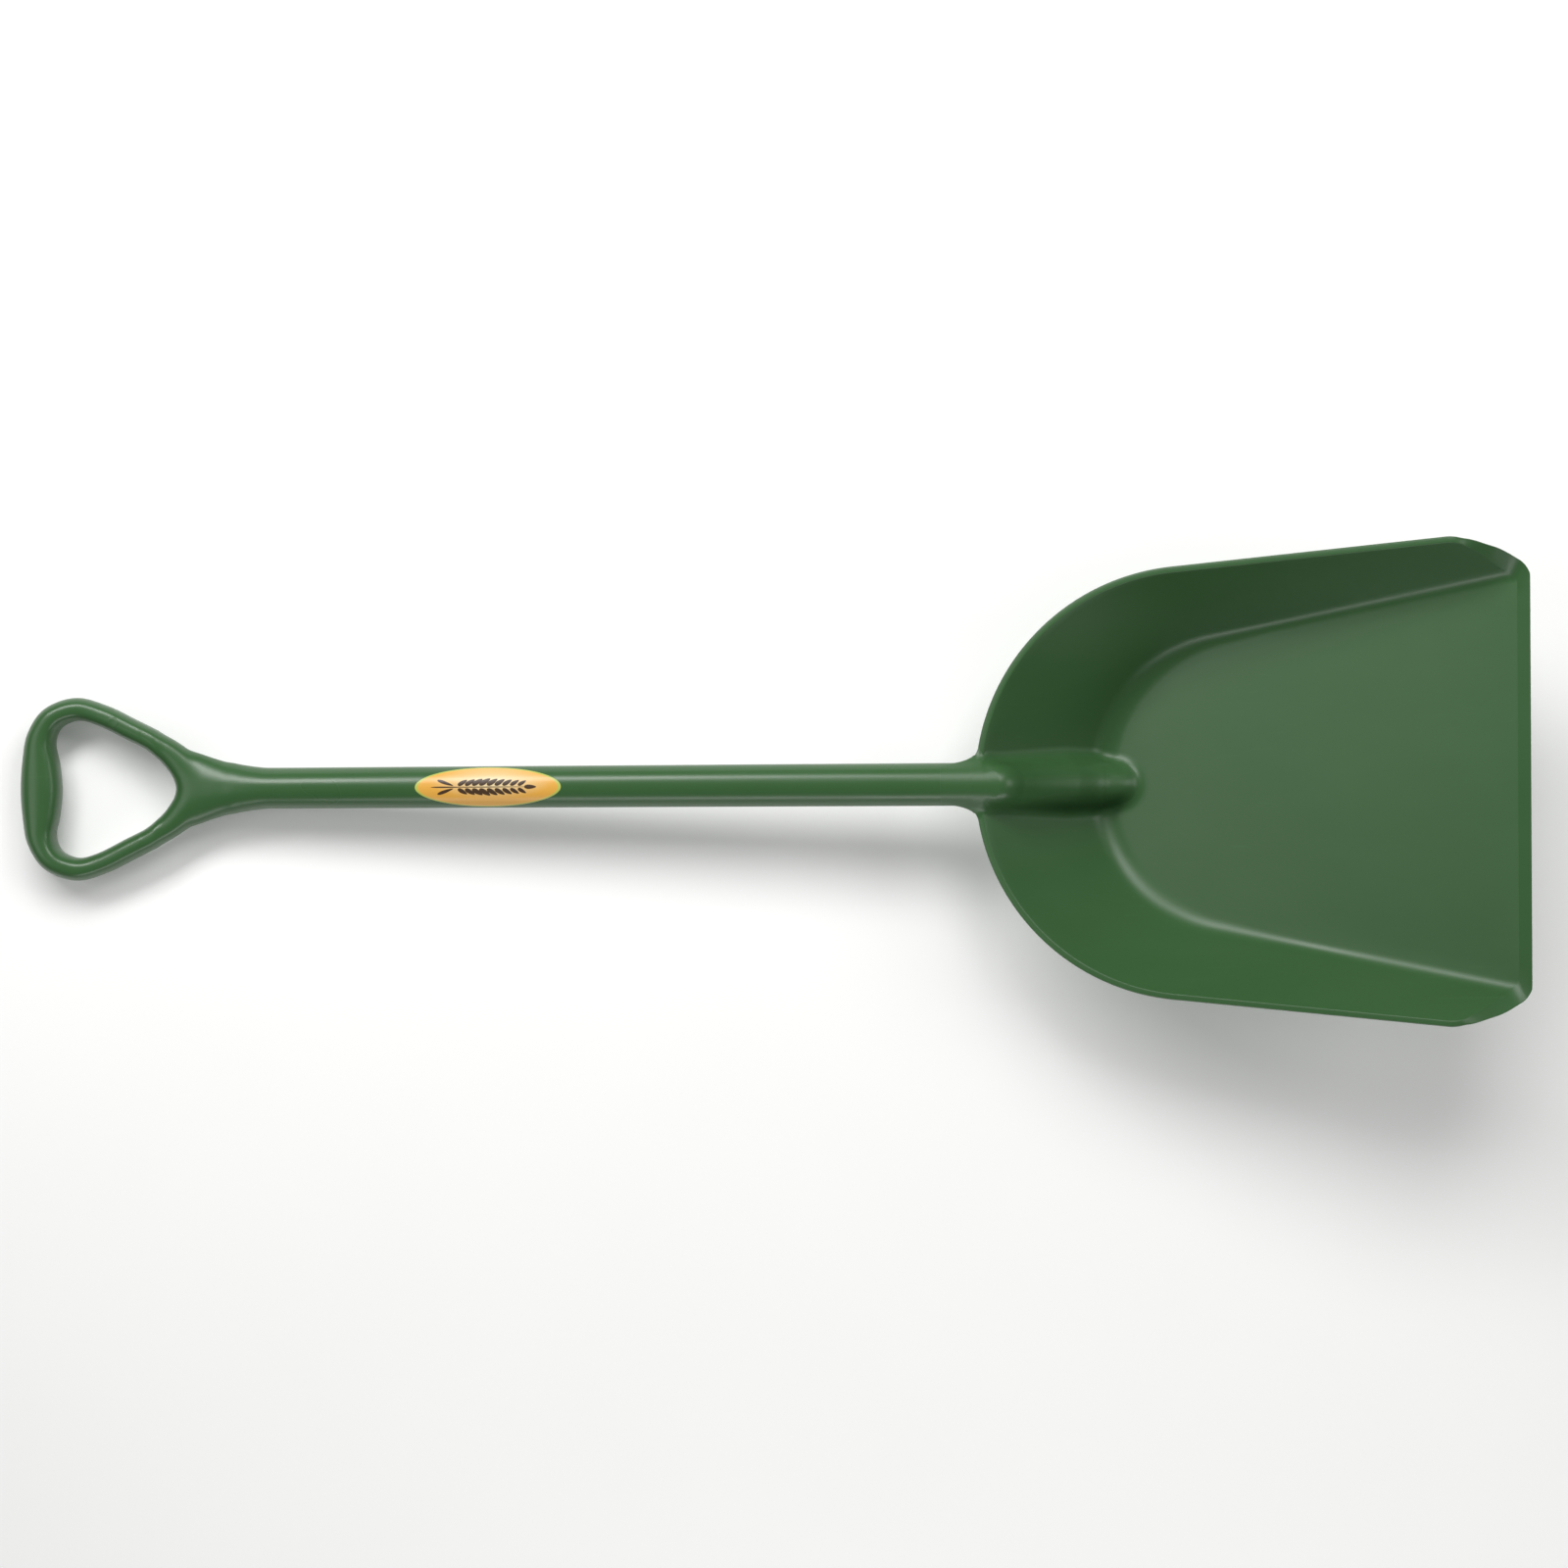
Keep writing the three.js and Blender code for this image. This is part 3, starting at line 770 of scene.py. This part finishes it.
def satinPlastic(name, colour, lighter, roughness, grain=0.4, sinks=1.0, rubs=0.35):
    material = bpy.data.materials.new(name)
    material.use_nodes = True
    tree = material.node_tree
    shader = tree.nodes["Principled BSDF"]
    place = addNode(tree, "ShaderNodeTexCoord").outputs["Object"]
    tint = useGroup(tree, "tint", place, {"Colour": (*colour, 1), "Lighter": (*lighter, 1), "Amount": 0.45})
    skin = useGroup(tree, "skin", place, {"Grain": grain, "Sinks": sinks})
    rub = useGroup(tree, "rubs", place, {"Density": rubs})
    worn = (*[min(c * 2.2 + 0.03, 1) for c in colour], 1)
    paler = mixColour(tree, rub.outputs["Rubs"], tint.outputs["Colour"], worn)
    tree.links.new(paler, shader.inputs["Base Color"])
    uneven = rangeOf(tree, skin.outputs["Mottle"], 0.3, 0.7, roughness - 0.03, roughness + 0.03)
    rubbed = sumOf(tree, uneven, sumOf(tree, rub.outputs["Rubs"], 0.25, "MULTIPLY"))
    tree.links.new(rubbed, shader.inputs["Roughness"])
    bump = addNode(tree, "ShaderNodeBump", {"Strength": 0.12, "Distance": 0.0006})
    tree.links.new(skin.outputs["Height"], bump.inputs["Height"])
    tree.links.new(bump.outputs[0], shader.inputs["Normal"])
    shader.inputs["IOR"].default_value = 1.46
    return material


finish = {
    "green": (0.032, 0.094, 0.029),
    "greenPale": (0.044, 0.114, 0.039),
    "scoopRoughness": 0.36,
    "handleRoughness": 0.30,
}

scoopGreen = satinPlastic("scoopGreen", finish["green"], finish["greenPale"], finish["scoopRoughness"], rubs=0.07)
handleGreen = satinPlastic("handleGreen", finish["green"], finish["greenPale"], finish["handleRoughness"], rubs=0.06)
plugGreen = satinPlastic("plugGreen", (0.026, 0.084, 0.024), finish["greenPale"], 0.42, grain=1.0, rubs=0.1)


shell = shellBody()
print("shell", len(shell.faces))
socketPart = socketBody(shell)
print("socket", len(socketPart.faces))
addTo(shell, socketPart)
scoopPiece = settle(shell, "scoop", scoopPlace, scoopGreen)
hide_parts("scoop_blade")


# the hollow shaft between both mouldings

shaft = {
    "frontRadius": 16.0,
    "rearRadius": 15.4,
    "boreRadius": 10.4,
    "length": 500.0,
    "gap": 0.3,
    "showingGap": 0.03,  # the moulded joint closes to a hairline
    "around": 96,
}
frontJoint = -socket["neckLength"] - shaft["gap"]
rearJoint = frontJoint - shaft["length"]


def shaftRadiusAt(x):
    share = (x - rearJoint) / shaft["length"]
    return shaft["rearRadius"] + share * (shaft["frontRadius"] - shaft["rearRadius"])


def shaftBody():
    bm = bmesh.new()
    ends = (rearJoint - shaft["gap"] + shaft["showingGap"], frontJoint + shaft["gap"] - shaft["showingGap"])
    outline = [(ends[0], shaft["boreRadius"]), (ends[0], shaft["rearRadius"])]
    outline += [(x, shaftRadiusAt(x)) for x in np.linspace(ends[0], ends[1], 22)[1:-1]]
    outline += [(ends[1], shaft["frontRadius"]), (ends[1], shaft["boreRadius"])]
    verts = [bm.verts.new((x, 0, radius)) for x, radius in outline]
    edges = [bm.edges.new((verts[i], verts[(i + 1) % len(verts)])) for i in range(len(verts))]
    bmesh.ops.spin(
        bm, geom=verts + edges, cent=(0, 0, 0), axis=(1, 0, 0), angle=2 * math.pi,
        steps=shaft["around"], use_merge=True,
    )
    closeUp(bm)
    return bm


shaftPiece = settle(shaftBody(), "shaft", handlePlace, handleGreen)
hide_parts("shaft_tube")


# the D grip with its yoke

grip = {
    "length": 196.0,
    "halfSpan": 69.3,
    "barWidth": 31.0,
    "barHalfDepth": 16.0,
    "armWidth": 17.2,
    "armTurn": math.radians(26.8),
    "armHalfDepth": 13.0,
    "crotch": 119.3,
    "holeHalfSpan": 51.8,
    "squareness": 2.35,  # 2 is an oval section, more is boxier
    "skin": 1.0,
    # rounds of smoothing, from this far behind the crotch to this far ahead of it
    "softening": [(10, 1000, 1000), (110, 14, 42), (12, 26, 52)],
    # the yoke's later sections: forwards from the bar's end, half width, half depth
    "yokeSizes": [
        (147, 24.3, 14), (162, 19.7, 14.9), (176, 16.9, 15.4), (187, 15.75, 15.5), (196, 15.5, 15.5),
        (206, 15.5, 15.5),
    ],
}
gripJoint = rearJoint - shaft["gap"]
gripEnd = gripJoint - grip["length"]


def armOut(along):
    return grip["halfSpan"] - (along - 52) * math.tan(grip["armTurn"])


def armIn(along):
    return armOut(along) - grip["armWidth"] / math.cos(grip["armTurn"])


# half of the loop: outer outline and hand hole, each forwards from the bar's end and aside
loopKnots = [
    ((0, 0), (grip["barWidth"], 0)),
    ((1.5, 22), (grip["barWidth"] - 2, 20)),
    ((5.5, 42), (grip["barWidth"] - 5, 35)),
    ((18, grip["halfSpan"] - 8.8), (grip["barWidth"] - 1, 46)),
    ((42, grip["halfSpan"]), (44, grip["holeHalfSpan"])),
    ((66, armOut(66) + 1), (58, grip["holeHalfSpan"] - 3.2)),
    ((88, armOut(88) + 1.5), (80, armIn(80) + 2)),
    ((110, armOut(110) + 1.5), (99, armIn(99) + 1.5)),
    ((128, 30), (113, 13)),
    ((146, 0), (grip["crotch"], 0)),
]


def loopLine(which, count):
    there = [(pair[which][0], pair[which][1], 0) for pair in loopKnots]
    back = [(x, -y, 0) for x, y, _ in there[1:-1][::-1]]
    return splineThrough(there + back, count, closed=True)


def boxier(value):
    return math.copysign(abs(value) ** (2 / grip["squareness"]), value)


def gripBody():
    joined = bmesh.new()
    around, section = 132, 36
    outer, inner = loopLine(0, around), loopLine(1, around)

    def loopPoint(i, j):
        start, end = outer[i % around], inner[i % around]
        middle, half = (start + end) / 2, (end - start) / 2
        turn = 2 * math.pi * (j % section) / section
        nearBar = float(smoothStep(60 - middle[0], 0, 40))
        depth = grip["armHalfDepth"] + nearBar * (grip["barHalfDepth"] - grip["armHalfDepth"])
        place = middle + half * boxier(math.cos(turn))
        return Vector((place[0] + gripEnd, place[1], depth * boxier(math.sin(turn))))

    loop = bmesh.new()
    mouldSheet(loop, around, section, loopPoint)
    closeUp(loop)
    addTo(joined, loop)
    # the yoke starts within the crotch, so its first sections follow it
    yokeStart = [(grip["crotch"] + 3, 27, 9.5), (grip["crotch"] + 12, 29.5, 12.3)]
    sizes = splineThrough(yokeStart + grip["yokeSizes"], 40)

    def yokePoint(i, j):
        k = min(max(j - 1, 0), len(sizes) - 1)
        along, wide, deep = sizes[k]
        if j == 0 or j == len(sizes) + 1:
            wide = deep = 0
        turn = 2 * math.pi * i / 48
        return Vector((gripEnd + along, wide * math.cos(turn), deep * math.sin(turn)))

    yoke = bmesh.new()
    mouldSheet(yoke, 48, len(sizes) + 1, yokePoint)
    closeUp(yoke)
    addTo(joined, yoke)
    bm = voxelled(joined, "gripRough", grip["skin"])
    crotch = gripEnd + grip["crotch"]
    for rounds, back, ahead in grip["softening"]:
        chosen = [vert for vert in bm.verts if crotch - back < vert.co.x < crotch + ahead]
        soften(bm, chosen, rounds)
    cutOff(bm, (gripJoint, 0, 0), (1, 0, 0))
    # towards the joint the yoke becomes exactly as round as the shaft
    for vert in bm.verts:
        near = float(smoothStep(vert.co.x, gripJoint - 16, gripJoint - 2))
        if near:
            radius = math.hypot(vert.co.y, vert.co.z)
            scale = 1 + near * (shaft["rearRadius"] / radius - 1)
            vert.co.y *= scale
            vert.co.z *= scale
    fillRim(bm)
    bmesh.ops.recalc_face_normals(bm, faces=bm.faces[:])
    return bm


gripMesh = gripBody()
gripTree = BVHTree.FromBMesh(gripMesh)
gripPiece = settle(gripMesh, "grip", handlePlace, handleGreen)
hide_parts("d_grip")


# the plug on the grip's arm, set on its skin

plug = {
    "along": 73.0,
    "inset": 9.0,
    "radius": 4.7,
    "depth": 3.0,
    # share of the radius, height over the arm's skin
    "face": [
        (0, 0.10), (0.2, 0.12), (0.45, 0.2), (0.62, 0.3), (0.74, 0.34), (0.84, 0.32), (0.92, 0.24), (0.97, 0.1),
        (1, -0.1),
    ],
}


def plugBody():
    bm = bmesh.new()
    profile = plug["face"] + [(1, -plug["depth"]), (0.001, -plug["depth"])]
    middle = Vector((gripEnd + plug["along"], armOut(plug["along"]) - plug["inset"], 0))

    def plugPoint(i, j):
        share, lift = profile[j]
        turn = 2 * math.pi * i / 48
        spot = middle + Vector((math.cos(turn), math.sin(turn), 0)) * share * plug["radius"]
        hit = gripTree.ray_cast(spot + Vector((0, 0, 60)), Vector((0, 0, -1)))[0]
        return Vector((spot.x, spot.y, hit.z + lift))

    mouldSheet(bm, 48, len(profile) - 1, plugPoint)
    closeUp(bm)
    return bm


plugPiece = settle(plugBody(), "pinPlug", handlePlace, plugGreen)
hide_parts("gas_pin_plug")


# the oval label on the shaft

label = {
    "length": 110.0,
    "wrap": math.radians(70),
    "fromRearJoint": 162.0,
    "under": 0.04,  # its back over the shaft
    "over": 0.34,  # its face over the shaft
    "orange": (0.70, 0.36, 0.055),
    # cream of the print, which also paints a highlight on the label's lit side
    "cream": (0.72, 0.58, 0.33),
    "edge": (0.42, 0.48, 0.09),
    "ink": (0.045, 0.022, 0.008),
    "grainPairs": 9,
}
labelX = rearJoint + label["fromRearJoint"]
labelHalfWidth = shaftRadiusAt(labelX) * math.sin(label["wrap"])


def onShaft(x, y, lift):
    # a flat place seen from above, laid on the round of the shaft
    radius = shaftRadiusAt(x) + lift
    return Vector((x, y, math.sqrt(max(radius ** 2 - y ** 2, 0))))


def labelBody():
    bm = bmesh.new()
    rings = [(share, label["over"]) for share in np.linspace(0, 0.985, 15)]
    rings += [(0.995, label["over"] - 0.03), (1.0, label["over"] - 0.12), (1.0, label["under"])]
    rings += [(share, label["under"]) for share in (0.75, 0.5, 0.25, 0)]

    def labelPoint(i, j):
        share, lift = rings[j]
        turn = 2 * math.pi * i / 120
        return onShaft(
            labelX + share * label["length"] / 2 * math.cos(turn),
            share * labelHalfWidth * math.sin(turn),
            lift,
        )

    mouldSheet(bm, 120, len(rings) - 1, labelPoint)
    closeUp(bm)
    return bm


def inkDrop(bm, x, y, long, wide, turn):
    # one printed leaf shape, as a thin lens on the label's face
    made = bmesh.ops.create_uvsphere(bm, u_segments=16, v_segments=6, radius=1)["verts"]
    for vert in made:
        taper = 1 - 0.35 * vert.co.x
        flat = Vector((vert.co.x * long / 2, vert.co.y * wide / 2 * taper))
        spun = Matrix.Rotation(turn, 2) @ flat
        vert.co = onShaft(labelX + x + spun.x, y + spun.y, label["over"] + 0.03 + 0.05 * vert.co.z)
    return made


def printedEar(bm):
    # a plain ear of grain lying along the label
    inkDrop(bm, -30, 0, 26, 1.0, 0)
    inkDrop(bm, 2, 0, 62, 0.7, 0)
    for pair in range(label["grainPairs"]):
        x = -22 + pair * 5.6
        size = 1 - 0.05 * abs(pair - 3)
        for side in (-1, 1):
            inkDrop(bm, x + 3, side * 3.9 * size, 9.5 * size, 3.6 * size, side * 0.52)
    inkDrop(bm, 32, 0, 9, 3.2, 0)
    for side in (-1, 1):
        inkDrop(bm, -32, side * 3.2, 13, 2.4, side * -0.34)


def labelFilm():
    material = bpy.data.materials.new("labelFilm")
    material.use_nodes = True
    tree = material.node_tree
    shader = tree.nodes["Principled BSDF"]
    spot = addNode(tree, "ShaderNodeAttribute", attribute_name="labelSpot").outputs["Vector"]
    place = addNode(tree, "ShaderNodeTexCoord").outputs["Object"]
    distance = addNode(tree, "ShaderNodeVectorMath", operation="LENGTH")
    tree.links.new(spot, distance.inputs[0])
    # painted highlight: the label is cream round a spot moved towards the lamps' side and orange towards its edge,
    # partly the print's own gradient and partly painted light
    fromPaintedHighlight = addNode(tree, "ShaderNodeVectorMath", operation="DISTANCE")
    tree.links.new(spot, fromPaintedHighlight.inputs[0])
    fromPaintedHighlight.inputs[1].default_value = (0.05, 0.25, 0)
    printAndPaintedHighlight = rangeOf(tree, fromPaintedHighlight.outputs["Value"], 0.15, 0.85)
    printDots = addNode(tree, "ShaderNodeTexNoise", {"Scale": 2600.0, "Detail": 1.0})
    tree.links.new(place, printDots.inputs["Vector"])
    printDotsAndPaintedHighlight = sumOf(tree, printAndPaintedHighlight, rangeOf(tree, printDots.outputs[0], 0.3, 0.7, -0.05, 0.05))
    blend = mixColour(tree, printDotsAndPaintedHighlight, (*label["cream"], 1), (*label["orange"], 1))
    rim = rangeOf(tree, distance.outputs["Value"], 0.955, 0.965)
    bordered = mixColour(tree, rim, blend, (*label["edge"], 1))
    tree.links.new(bordered, shader.inputs["Base Color"])
    skin = useGroup(tree, "skin", place, {"Grain": 0.5, "Sinks": 0.4, "Grain Scale": 1500.0})
    tree.links.new(rangeOf(tree, skin.outputs["Mottle"], 0.3, 0.7, 0.3, 0.38), shader.inputs["Roughness"])
    bump = addNode(tree, "ShaderNodeBump", {"Strength": 0.08, "Distance": 0.0004})
    tree.links.new(skin.outputs["Height"], bump.inputs["Height"])
    tree.links.new(bump.outputs[0], shader.inputs["Normal"])
    return material


def inkMaterial():
    material = bpy.data.materials.new("labelInk")
    material.use_nodes = True
    tree = material.node_tree
    shader = tree.nodes["Principled BSDF"]
    place = addNode(tree, "ShaderNodeTexCoord").outputs["Object"]
    tint = useGroup(tree, "tint", place, {
        "Colour": (*label["ink"], 1), "Lighter": (0.09, 0.045, 0.018, 1), "Amount": 0.6,
    })
    tree.links.new(tint.outputs["Colour"], shader.inputs["Base Color"])
    skin = useGroup(tree, "skin", place, {"Grain": 0.8, "Grain Scale": 1800.0})
    tree.links.new(rangeOf(tree, skin.outputs["Mottle"], 0.3, 0.7, 0.34, 0.44), shader.inputs["Roughness"])
    return material


labelMesh = labelBody()
printed = bmesh.new()
printedEar(printed)
bmesh.ops.recalc_face_normals(printed, faces=printed.faces[:])
for face in printed.faces:
    face.material_index = 1
addTo(labelMesh, printed)
labelPiece = settle(labelMesh, "gripLabel", handlePlace, labelFilm())
labelPiece.data.materials.append(inkMaterial())
spots = labelPiece.data.attributes.new("labelSpot", "FLOAT_VECTOR", "POINT")
toHandle = handlePlace.inverted()
for vert in labelPiece.data.vertices:
    flat = toHandle @ vert.co
    spots.data[vert.index].vector = (
        (flat.x - labelX) / (label["length"] / 2), flat.y / labelHalfWidth, 0,
    )
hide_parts("shaft_label")
print("label ready")


# floor, light and camera

studio = {
    "floorColour": (0.84, 0.84, 0.83),
    "floorGlow": 0.1,
    "ambient": 0.12,
    "backdrop": 0.8,
    "key": {"place": (-0.72, 1.05, 1.2), "size": (1.4, 0.4), "power": 24, "aim": (-0.05, 0, 0.03)},
    "side": {"place": (0.5, 0.97, 1.35), "size": (0.8, 0.8), "power": 13, "aim": (0.32, 0, 0.1)},
    "low": {"place": (0.3, -1.6, 0.6), "size": (2.0, 0.4), "power": 12, "aim": (0.2, 0, 0.05)},
    "back": {"place": (-1.9, 0, 1.9), "size": (1.2, 1.4), "power": 8, "aim": (0.4, 0, 0.1)},
    "front": {"place": (1.55, 0.15, 1.0), "size": (0.7, 0.5), "power": 4, "aim": (0.25, 0, 0.05)},
    "cameraPlace": (0.017, 0.001, 3.0),
    "cameraRoll": math.radians(-0.32),
    "lens": 90.45,
}


def floorMaterial():
    material = bpy.data.materials.new("paleFloor")
    material.use_nodes = True
    tree = material.node_tree
    shader = tree.nodes["Principled BSDF"]
    place = addNode(tree, "ShaderNodeTexCoord").outputs["Object"]
    paper = addNode(tree, "ShaderNodeTexNoise", {"Scale": 6.0, "Detail": 3.0})
    tree.links.new(place, paper.inputs["Vector"])
    tone = rangeOf(tree, paper.outputs[0], 0.3, 0.7)
    pale = studio["floorColour"]
    tree.links.new(mixColour(tree, tone, (*[c * 0.99 for c in pale], 1), (*pale, 1)), shader.inputs["Base Color"])
    shader.inputs["Roughness"].default_value = 0.8
    shader.inputs["Emission Color"].default_value = (1, 1, 1, 1)
    shader.inputs["Emission Strength"].default_value = studio["floorGlow"]
    return material


def areaLight(name, place, size, power, aim):
    lamp = bpy.data.lights.new(name, "AREA")
    lamp.shape = "RECTANGLE"
    lamp.size, lamp.size_y = size
    lamp.energy = power
    light = bpy.data.objects.new(name, lamp)
    light.location = place
    light.rotation_euler = (Vector(aim) - Vector(place)).to_track_quat("-Z", "Y").to_euler()
    bpy.context.scene.collection.objects.link(light)
    return light


floorMesh = bmesh.new()
bmesh.ops.create_grid(floorMesh, x_segments=4, y_segments=4, size=12)
floor = asObject(floorMesh, "floor")
floor.data.materials.append(floorMaterial())

for name in ("key", "side", "low", "back", "front"):
    areaLight(name, **studio[name])

world = bpy.data.worlds.new("studioWorld")
world.use_nodes = True
backdrop = world.node_tree.nodes["Background"]
backdrop.inputs["Color"].default_value = (1, 1, 1, 1)
sightOnly = addNode(world.node_tree, "ShaderNodeLightPath").outputs["Is Camera Ray"]
world.node_tree.links.new(
    rangeOf(world.node_tree, sightOnly, 0, 1, studio["ambient"], studio["backdrop"]), backdrop.inputs["Strength"],
)
bpy.context.scene.world = world
bpy.context.scene.view_settings.view_transform = "Standard"

camera = bpy.data.objects.new("camera", bpy.data.cameras.new("camera"))
camera.data.lens = studio["lens"]
camera.data.sensor_width = 36
camera.data.clip_end = 50
camera.location = studio["cameraPlace"]
camera.rotation_euler = (0, 0, studio["cameraRoll"])
bpy.context.scene.collection.objects.link(camera)
bpy.context.scene.camera = camera
print("studio ready")
